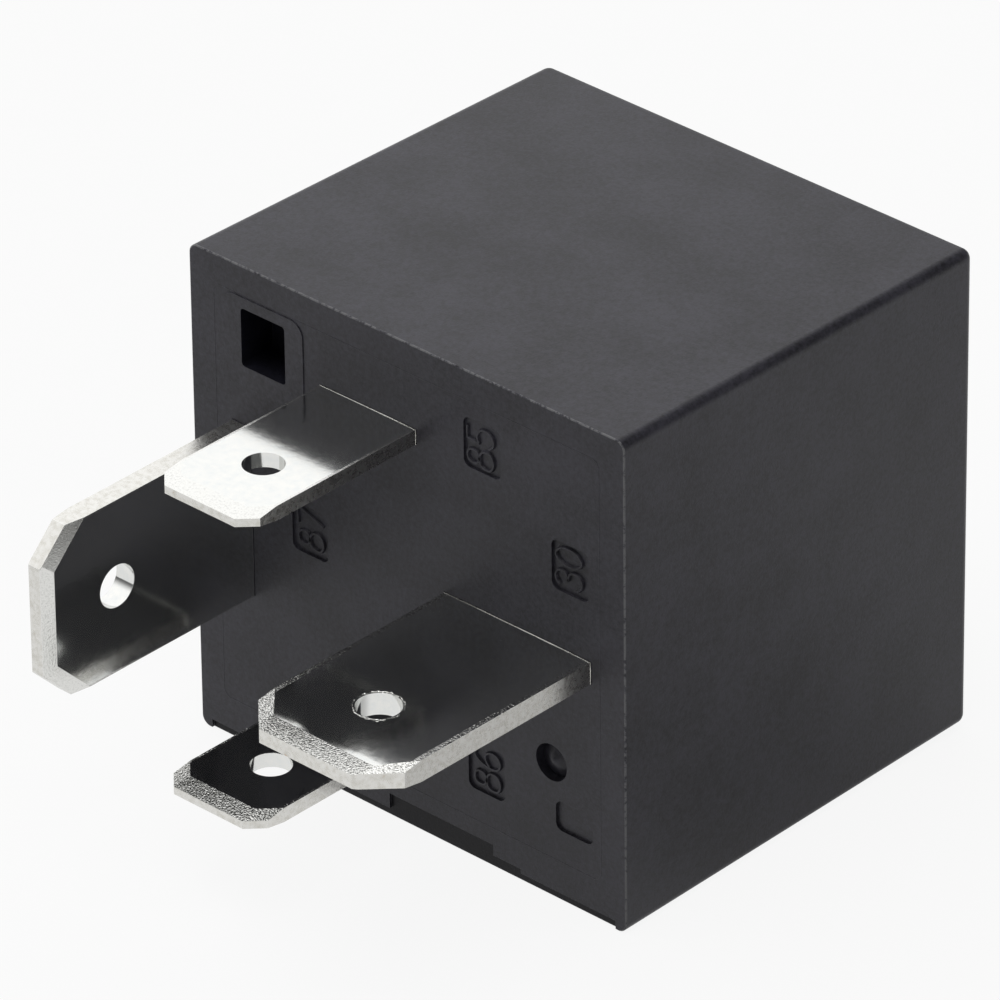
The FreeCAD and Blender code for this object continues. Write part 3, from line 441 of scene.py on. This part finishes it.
# The vent ends in a low cone: rings from its foot to its blunt tip, each with its radius and its depth
vent = {
    "middle": (9.4, -5.93),
    "profile": [(0.995, 0.55), (0.70, 0.42), (0.36, 0.26), (0.14, 0.15), (0.06, 0.12)],
    "sides": 48,
    "crisp": 60,
}
work = bmesh.new()
rings = []
spokes = [2 * math.pi * i / vent["sides"] for i in range(vent["sides"])]
x, z = vent["middle"]
for radius, depth in vent["profile"]:
    rings.append([
        work.verts.new(Vector((x + radius * math.cos(spoke), depth, z + radius * math.sin(spoke))) * mm)
        for spoke in spokes
    ])
for ring, after in zip(rings, rings[1:]):
    for i in range(vent["sides"]):
        work.faces.new((ring[i - 1], ring[i], after[i], after[i - 1]))
work.faces.new(rings[-1])
addPiece("vent_cone", endWork(work, "vent_cone", vent["crisp"]), [coverPlastic], "housing")
print("relay: housing made")


# Terminal numbers: raised strokes in the sunk fields, read from the lower edge upwards
numbers = {
    "height": 1.68,
    "width": 0.95,
    "gap": 0.24,
    "stroke": 0.18,
    "crest": 0.09,
    "rise": 0.13,
    "floor": 0.155,
    "steps": 6,
    "crisp": 30,
    "fields": {
        "85": (4.93, 9.68),
        "86": (5.15, -8.2),
        "30": (10.58, 5.3),
        "87": (-6.42, 0.6),
    },
}
# Each stroke: closed or open, and its points in a unit box
strokes = {
    "0": [(True, [(0.5, 1), (0.1, 0.8), (0, 0.5), (0.1, 0.2), (0.5, 0), (0.9, 0.2), (1, 0.5), (0.9, 0.8)])],
    "3": [(False, [(0.05, 0.85), (0.25, 0.98), (0.6, 1), (0.88, 0.85), (0.82, 0.62), (0.42, 0.54)]),
          (False, [(0.42, 0.54), (0.85, 0.46), (0.98, 0.25), (0.8, 0.04), (0.4, 0), (0.02, 0.18)])],
    "5": [(False, [(0.9, 1), (0.9, 1), (0.2, 1), (0.2, 1), (0.1, 0.55), (0.1, 0.55), (0.5, 0.62),
                   (0.9, 0.48), (0.96, 0.22), (0.7, 0.02), (0.3, 0), (0, 0.16)])],
    "6": [(False, [(0.85, 0.9), (0.55, 1), (0.2, 0.8), (0.04, 0.42), (0.12, 0.12), (0.5, 0), (0.86, 0.1),
                   (0.96, 0.33), (0.78, 0.55), (0.45, 0.58), (0.1, 0.42)])],
    "7": [(False, [(0, 1), (0, 1), (0.95, 1), (0.95, 1), (0.35, 0), (0.35, 0)])],
    "8": [(True, [(0.5, 1), (0.17, 0.9), (0.17, 0.64), (0.5, 0.54), (0.83, 0.64), (0.83, 0.9)]),
          (True, [(0.5, 0.54), (0.06, 0.42), (0.06, 0.12), (0.5, 0), (0.94, 0.12), (0.94, 0.42)])],
}


# The points of a line round point i, from the one before it on
def nearPoints(points, i, closed, offsets):
    last = len(points) - 1
    return [points[(i + k) % len(points)] if closed else points[min(max(i + k, 0), last)] for k in offsets]


# A smooth line through the points; a point given twice makes a corner
def drawLine(points, closed):
    line = []
    for i in range(len(points) if closed else len(points) - 1):
        a, b, c, d = (Vector(p) for p in nearPoints(points, i, closed, (-1, 0, 1, 2)))
        if b == c:
            continue
        if a == b and c == d:
            line.append(b)
            continue
        for step in range(numbers["steps"]):
            t = step / numbers["steps"]
            line.append(0.5 * (
                2 * b + (c - a) * t + (2 * a - 5 * b + 4 * c - d) * t ** 2 + (3 * b - a - 3 * c + d) * t ** 3
            ))
    if not closed:
        line.append(Vector(points[-1]))
    return line


# A low ridge with sloping sides along a flat line; aim turns a point and a rise into a place
def raiseRidge(work, line, closed, aim):
    foot, crest = numbers["stroke"] / 2, numbers["crest"] / 2
    rings = []
    for i, point in enumerate(line):
        before, after = nearPoints(line, i, closed, (-1, 1))
        along = (after - before).normalized()
        aside = Vector((-along.y, along.x))
        section = ((-foot, 0), (-crest, 1), (crest, 1), (foot, 0))
        rings.append([work.verts.new(aim(point + aside * offset, lift)) for offset, lift in section])
    for ring, after in zip(rings, rings[1:] + rings[:1] if closed else rings[1:]):
        for k in range(3):
            work.faces.new((ring[k], ring[k + 1], after[k + 1], after[k]))
    if not closed:
        work.faces.new(rings[0][::-1])
        work.faces.new(rings[-1])


def makeNumber(text, across, up):
    work = bmesh.new()
    total = len(text) * numbers["width"] + (len(text) - 1) * numbers["gap"]

    def aim(point, lift):
        return Vector((across - point.y, numbers["floor"] - lift * numbers["rise"], up + point.x)) * mm

    for i, digit in enumerate(text):
        start = i * (numbers["width"] + numbers["gap"]) - total / 2
        for closed, points in strokes[digit]:
            placed = [(start + x * numbers["width"], (y - 0.5) * numbers["height"]) for x, y in points]
            raiseRidge(work, drawLine(placed, closed), closed, aim)
    bmesh.ops.recalc_face_normals(work, faces=work.faces)
    mesh = endWork(work, "number_" + text, numbers["crisp"])
    return addPiece("number_" + text, mesh, [coverPlastic], "housing")


for text, (across, up) in numbers["fields"].items():
    makeNumber(text, across, up)
print("relay: terminal numbers made")


# Terminals: mirror faces, coined bevels round the tip and sheared edges
blades = {
    "bevel": {"length": 0.8, "depth": 0.18},
    "coinedTip": 1.1,
    "crisp": 8,  # degrees, so that the coined bevels stay flat
    "rootLine": 0.03,
    "rootOut": 0.01,
    "holeCuts": 3,
    "sag": 0.06,  # how far the hole's straight sides may lie off its circle
    "near": 0.01,
    "parts": {
        "terminal_85": {
            "middle": (-2.38, 8.67), "width": 6.3, "thick": 0.8, "length": 11.45, "corner": 0.85,
            "hole": (7.12, 1.05), "root": tinSheared, "edge": 0.09, "margin": 0.14, "coined": tinSatin,
        },
        "terminal_86": {
            "middle": (-2.38, -8.13), "width": 6.3, "thick": 0.8, "length": 11.45, "corner": 0.85,
            "hole": (7.12, 1.05), "root": tinSheared, "edge": 0.09, "margin": 0.14, "coined": tinCoined,
        },
        "terminal_30": {
            "middle": (7.24, 0.15), "width": 9.5, "thick": 1.2, "length": 14.5, "corner": 1.75,
            "hole": (9.5, 1.15), "root": tinSheared, "edge": 0.12, "margin": 0.30, "coined": tinCoined,
            "bow": {"length": 2.6, "drop": 0.075, "steps": 7, "share": 0.6, "lean": 0.8},
            "burr": {
                "wander": 0.09, "spread": (0.4, 1.6), "radius": 0.075, "swell": (0.1, 1.0), "power": 1.5,
                "knots": 72,
            },
        },
        "terminal_87": {
            "middle": (-10.92, 0.05), "width": 9.5, "thick": 1.2, "length": 14.2, "corner": 1.75,
            "hole": (9.3, 1.15), "root": coverPlastic, "edge": 0.10, "margin": 0.12, "coined": tinSatin,
            "upright": True,
        },
    },
}
outwards = Vector((0, -1, 0))


# The slanted corners of the tip are coined like its front
def coinCorners(work, blade, middle, across, flat):
    length, depth = blades["bevel"]["length"], blades["bevel"]["depth"]
    for side in (-1, 1):
        corner = middle + side * across * blade["width"] / 2 + outwards * (blade["length"] - blade["corner"])
        slant = (side * across + outwards).normalized()
        for face in (-1, 1):
            place = (corner + face * flat * (blade["thick"] / 2 - depth)) * mm
            cutAlong(work, place, depth * slant + length * face * flat, True)
            bmesh.ops.holes_fill(work, edges=[edge for edge in work.edges if edge.is_boundary], sides=0)


# The punch left a rough margin along the long edges
def markMargins(work, blade, middle, across):
    for side in (-1, 1):
        place = middle + side * across * (blade["width"] / 2 - blade["margin"])
        cutAlong(work, place * mm, across)


# The thick blade bows down a little towards its coined tip, more on its outer side
def bowTip(work, blade, middle, across, flat):
    bow = blade["bow"]
    start = blade["length"] - blades["coinedTip"] - bow["length"]
    for i in range(bow["steps"]):
        cutAlong(work, (middle + outwards * (start + bow["length"] * i / bow["steps"])) * mm, outwards)
    for vert in work.verts:
        away = vert.co / mm - middle
        along, height = away.dot(outwards) - start, away.dot(flat)
        if along > 0 and height > blade["thick"] / 2 - blades["near"]:
            outer = bow["share"] + bow["lean"] * away.dot(across) / blade["width"]
            vert.co -= flat * bow["drop"] * outer * (along / bow["length"]) ** 2 * mm


# Where a place lies from the axis of the detent hole
def fromHole(blade, middle, flat, place):
    away = place / mm - middle - outwards * blade["hole"][0]
    return away - away.dot(flat) * flat


# The detent hole gets enough sides to mirror as a round one
def roundHole(work, blade, middle, flat):
    radius = blade["hole"][1]

    def offRim(vert):
        return abs(fromHole(blade, middle, flat, vert.co).length - radius)

    rim = [
        edge for edge in work.edges
        if all(offRim(vert) < blades["near"] for vert in edge.verts)
        and abs((edge.verts[0].co - edge.verts[1].co).normalized().dot(flat)) < 0.5
    ]
    bmesh.ops.subdivide_edges(work, edges=rim, cuts=blades["holeCuts"], use_grid_fill=True)
    for vert in work.verts:
        away = fromHole(blade, middle, flat, vert.co)
        if abs(away.length - radius) < blades["sag"]:
            vert.co += away * (radius / away.length - 1) * mm


# 0 for the mirror faces and the hole's wall, 1 for the sheared sides, 2 for coined bevels and margins
def chooseFinish(face, blade, middle, across, flat):
    face.normal_update()
    lean = abs(face.normal.dot(flat))
    place = face.calc_center_median()
    if lean < 0.5:
        return 0 if fromHole(blade, middle, flat, place).length < blade["hole"][1] + blades["near"] else 1
    inMargin = abs((place / mm - middle).dot(across)) > blade["width"] / 2 - blade["margin"]
    return 2 if lean < 0.995 or inMargin else 0


# The punch left a crumbled burr round the thick blade's hole
def raiseBurr(node, blade, middle, across, flat):
    burr = blade["burr"]
    reach, radius = blade["hole"]
    draw = random.Random(30)
    points = []
    for i in range(burr["knots"]):
        turned = 2 * math.pi * i / burr["knots"]
        away = radius + burr["wander"] * draw.uniform(*burr["spread"])
        points.append(
            middle + outwards * (reach + away * math.cos(turned)) + across * away * math.sin(turned)
            + flat * blade["thick"] / 2
        )
    swell = [draw.uniform(*burr["swell"]) ** burr["power"] for i in range(burr["knots"])]
    makeBead(node + "_burr", points, burr["radius"], tinCoined, swell)


def makeTerminal(node, blade):
    upright = blade.get("upright", False)
    across, flat = Vector((1, 0, 0)), Vector((0, 0, 1))
    if upright:
        across, flat = flat, across
    middle = Vector((blade["middle"][0], 0, blade["middle"][1]))
    work = startWork(node)
    roundHole(work, blade, middle, flat)
    markMargins(work, blade, middle, across)
    if "bow" in blade:
        bowTip(work, blade, middle, across, flat)
    coinCorners(work, blade, middle, across, flat)
    for face in work.faces:
        face.material_index = chooseFinish(face, blade, middle, across, flat)
    finerPart(
        node, node + "_blade", work, [tinFace, tinSheared, blade["coined"]], blade["edge"],
        edgeMaterial=2, crisp=blades["crisp"],
    )
    # Pressed in, blade and slot scraped a thread off each other: tin on three of them, plastic on one
    makeBead(node + "_root", [
        middle + across * side * blade["width"] / 2 + flat * face * blade["thick"] / 2
        + outwards * blades["rootOut"]
        for side, face in ((-1, -1), (1, -1), (1, 1), (-1, 1))
    ], blades["rootLine"], blade["root"])
    if "burr" in blade:
        raiseBurr(node, blade, middle, across, flat)


for node, blade in blades["parts"].items():
    makeTerminal(node, blade)
print("relay: terminals made")


# Parts inside the cover: each with its finish and the width in mm of the edges that its making leaves
inside = {
    "yoke": ("plated_steel", 0.12),
    "armature": ("plated_steel", 0.10),
    "armature_stop": ("plated_steel", 0.08),
    "core": ("core_iron", 0.12),
    "bobbin": ("bobbin_nylon", 0.10),
    "yoke_rivets": ("rivet_copper", 0.18),
    "armature_rivets": ("rivet_copper", 0.18),
    "fixed_contact": ("contact_silver", 0.12),
    "moving_contact": ("contact_silver", 0.12),
    "suppression_resistor": ("resistor_lacquer", 0.30),
    "resistor_lead_85": ("tinned_wire", 0.05),
    "resistor_lead_86": ("tinned_wire", 0.05),
    "coil_tape": ("coil_tape", 0.03),
}
for node, (slot, edge) in inside.items():
    finerPart(node, node + "_finished", startWork(node), [insideFinishes[slot]], edge, 3)
print("relay: parts inside made")


# Coil: real turns of enamelled wire, and the two ends wound on the terminals' posts
coil = {
    "axis": (0.49, 0.15),
    "start": 6.8,
    "end": 17.4,
    "radius": 6.29,
    "wire": 0.14,
    "sides": 28,
    "leadWire": 0.145,
    "post": (-0.98, 0.909),  # where the post stands across, and the wire's radius round it
    "leadStart": 7.9,
    "leadTurns": 3,
    "leadSides": 16,
    "leadPitch": 0.3,
    "ends": {"85": (8.67, -1, 2.55), "86": (-8.13, 1, 2.31)},  # height, way to the coil and length of each
}


def windWire(name, points, radius, replaced):
    wire = bpy.data.curves.new(name, "CURVE")
    wire.dimensions = "3D"
    wire.bevel_depth = radius * mm
    wire.bevel_resolution = 1
    wire.use_fill_caps = True
    route = wire.splines.new("POLY")
    route.points.add(len(points) - 1)
    route.use_smooth = True
    for knot, point in zip(route.points, points):
        knot.co = (*(Vector(point) * mm), 1)
    piece = addPiece(name, wire, [insideFinishes["winding_copper"]], "housing")
    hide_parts(replaced)
    return piece


turns = int((coil["end"] - coil["start"]) / (2 * coil["wire"]))
outer = coil["radius"] - coil["wire"]
pitch = (coil["end"] - coil["start"] - 2 * coil["wire"]) / turns
windWire("winding_turns", [
    (
        coil["axis"][0] + outer * math.cos(2 * math.pi * i / coil["sides"]),
        coil["start"] + coil["wire"] + pitch * i / coil["sides"],
        coil["axis"][1] + outer * math.sin(2 * math.pi * i / coil["sides"]),
    )
    for i in range(turns * coil["sides"] + 1)
], coil["wire"], "coil_winding")
for name, (height, side, length) in coil["ends"].items():
    post, radius = coil["post"]
    lead = [(post + radius, coil["leadStart"], height + side * length)]
    for i in range(coil["leadTurns"] * coil["leadSides"] + 1):
        turned = 2 * math.pi * i / coil["leadSides"]
        lead.append((
            post + radius * math.cos(turned),
            coil["leadStart"] + coil["leadPitch"] * i / coil["leadSides"],
            height - side * radius * math.sin(turned),
        ))
    windWire("coil_end_" + name, lead, coil["leadWire"], "coil_lead_" + name)
print("relay: coil made,", turns, "turns in the outer layer")


# Contact spring: one strip between the yoke and the armature, with its sharp edges broken and its leg cut
# across in steps
spring = {
    "edge": 0.03,
    "corner": 50,  # degrees, edges sharper than this are broken
    "cuts": (10.5, 21.5, 0.5),  # first and last cut across the leg, and the step
    "bendStart": (10.55, 14.0, 0.15),
    "bendEnd": (9.0, 21.1, 0.15),
}
work = startWork("contact_spring")
bmesh.ops.bevel(
    work, geom=[edge for edge in work.edges if edge.calc_face_angle(0) > math.radians(spring["corner"])],
    offset=spring["edge"] * mm, segments=1, affect="EDGES",
)
first, last, step = spring["cuts"]
for i in range(int((last - first) / step) + 1):
    cutAlong(work, (0, (first + i * step) * mm, 0), (0, 1, 0))
springPiece = addPiece(
    "contact_spring_strip", endWork(work, "contact_spring_strip", meshing["crisp"]),
    [insideFinishes["spring_bronze"]], None,
)
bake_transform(springPiece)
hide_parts("contact_spring")
print("relay: contact spring made")

# Floor: plain white card under the object, with a faint fibre
stageSet = {
    "floorSize": 6.0,  # metres
    "floorDark": "#d6d6d6",
    "floorLight": "#dadada",
    "fibre": 2.5,
    "level": -13.65,
    "glow": 0.90,  # share of plain white where it is seen directly or mirrored, so that a soft shadow stays
    "shade": (34.0, 14.0, -13.65),  # the housing's shadow on its right, as the metal mirrors it
    "shadeReach": (12.0, 28.0),
    "shadeGlow": 0.25,
}
floorMesh = bpy.data.meshes.new("floor")
half = stageSet["floorSize"] / 2
corners = ((-half, -half), (half, -half), (half, half), (-half, half))
floorMesh.from_pydata([(x, y, stageSet["level"] * mm) for x, y in corners], [], [(0, 1, 2, 3)])
floor = bpy.data.objects.new("floor", floorMesh)
bpy.context.scene.collection.objects.link(floor)
card, cardTree, cardPlace, cardShader = startFinish(
    "Card white", {"Roughness": 0.9, "Specular IOR Level": 0.0},
)
cardFibre = addNode(cardTree, "ShaderNodeTexNoise", grainsOf(stageSet["fibre"], 2.0, 0.5), cardPlace)
cardTint = addNode(
    cardTree, "ShaderNodeValToRGB", links={"Fac": (cardFibre, "Fac")},
    stops=[(0.2, stageSet["floorDark"]), (0.8, stageSet["floorLight"])],
)
cardTree.links.new(cardTint.outputs["Color"], cardShader.inputs["Base Color"])
ray = addNode(cardTree, "ShaderNodeLightPath")
mirrored = addNode(
    cardTree, "ShaderNodeMath", links={0: (ray, "Is Glossy Ray"), 1: (ray, "Is Transmission Ray")},
    operation="MAXIMUM",
)
fromShade = addNode(
    cardTree, "ShaderNodeVectorMath", {1: tuple(v * mm for v in stageSet["shade"])},
    {0: cardPlace["Vector"]}, operation="DISTANCE",
)
clear = addNode(
    cardTree, "ShaderNodeMapRange",
    {"From Min": stageSet["shadeReach"][0] * mm, "From Max": stageSet["shadeReach"][1] * mm,
     "To Min": stageSet["shadeGlow"]},
    {"Value": (fromShade, "Value")}, interpolation_type="SMOOTHSTEP",
)
mirroredGlow = addNode(
    cardTree, "ShaderNodeMath", links={0: (mirrored, "Value"), 1: (clear, "Result")}, operation="MULTIPLY",
)
seen = addNode(
    cardTree, "ShaderNodeMath", links={0: (ray, "Is Camera Ray"), 1: (mirroredGlow, "Value")},
    operation="MAXIMUM",
)
share = addNode(
    cardTree, "ShaderNodeMath", {1: stageSet["glow"]}, {0: (seen, "Value")}, operation="MULTIPLY",
)
white = addNode(cardTree, "ShaderNodeEmission", {"Color": (1, 1, 1, 1), "Strength": 1.0})
cardMix = addNode(
    cardTree, "ShaderNodeMixShader",
    links={0: (share, "Value"), 1: (cardShader, "BSDF"), 2: (white, "Emission")},
)
cardOutput = [node for node in cardTree.nodes if node.type == "OUTPUT_MATERIAL"][0]
cardTree.links.new(cardMix.outputs["Shader"], cardOutput.inputs["Surface"])
floorMesh.materials.append(card)

# Light: a bright screen along the left side, a dim studio on the right, and a large lamp overhead
light = {
    "brightWay": (-0.78, 0.10, 0.62),
    "bright": 1.3,
    "dim": 0.14,
    "edgeOfScreen": (0.42, 0.80),
    "lampPlace": (0.10, -0.16, 0.80),
    "lampSize": 0.55,
    "lampWatts": 2.5,
}
world = bpy.data.worlds.new("studio")
bpy.context.scene.world = world
world.use_nodes = True
sky = world.node_tree
sky.nodes.clear()
skyPlace = addNode(sky, "ShaderNodeTexCoord")
towards = addNode(
    sky, "ShaderNodeVectorMath", {1: Vector(light["brightWay"]).normalized()}, {0: (skyPlace, "Generated")},
    operation="DOT_PRODUCT",
)
strength = addNode(
    sky, "ShaderNodeMapRange",
    {"From Min": light["edgeOfScreen"][0], "From Max": light["edgeOfScreen"][1],
     "To Min": light["dim"], "To Max": light["bright"]},
    {"Value": (towards, "Value")}, interpolation_type="SMOOTHSTEP",
)
glow = addNode(sky, "ShaderNodeBackground", {"Color": (1, 1, 1, 1)}, {"Strength": (strength, "Result")})
addNode(sky, "ShaderNodeOutputWorld", links={"Surface": (glow, "Background")})

lamp = bpy.data.lights.new("overhead", "AREA")
lamp.shape = "SQUARE"
lamp.size = light["lampSize"]
lamp.energy = light["lampWatts"]
lampObject = bpy.data.objects.new("overhead", lamp)
bpy.context.scene.collection.objects.link(lampObject)
lampObject.location = light["lampPlace"]
lampObject.rotation_euler = (-Vector(light["lampPlace"])).to_track_quat("-Z", "Y").to_euler()
print("relay: stage and light made")

# Camera, fitted to the photograph's view of the housing
view = {
    "azimuth": 43.4455,
    "elevation": 30.9182,
    "roll": -0.6577,
    "distance": 512.7493,
    "aim": (-2.8344, 9.5589, -0.5033),
    "lens": 379.194,
    "sensor": 36,
    "clip": (0.01, 20),  # metres
}
azimuth, elevation, roll = (math.radians(view[k]) for k in ("azimuth", "elevation", "roll"))
back = Vector((
    math.sin(azimuth) * math.cos(elevation), -math.cos(azimuth) * math.cos(elevation), math.sin(elevation),
))
level = Vector((math.cos(azimuth), math.sin(azimuth), 0))
plumb = back.cross(level)
right = math.cos(roll) * level + math.sin(roll) * plumb
up = -math.sin(roll) * level + math.cos(roll) * plumb
cameraData = bpy.data.cameras.new("camera")
cameraData.sensor_width = view["sensor"]
cameraData.lens = view["lens"]
cameraData.clip_start, cameraData.clip_end = view["clip"]
camera = bpy.data.objects.new("camera", cameraData)
bpy.context.scene.collection.objects.link(camera)
camera.matrix_world = Matrix.Translation((Vector(view["aim"]) + view["distance"] * back) * mm) @ Matrix(
    (right, up, back)
).transposed().to_4x4()
bpy.context.scene.camera = camera
bpy.context.scene.view_settings.view_transform = "Standard"

print("relay: scene ready")
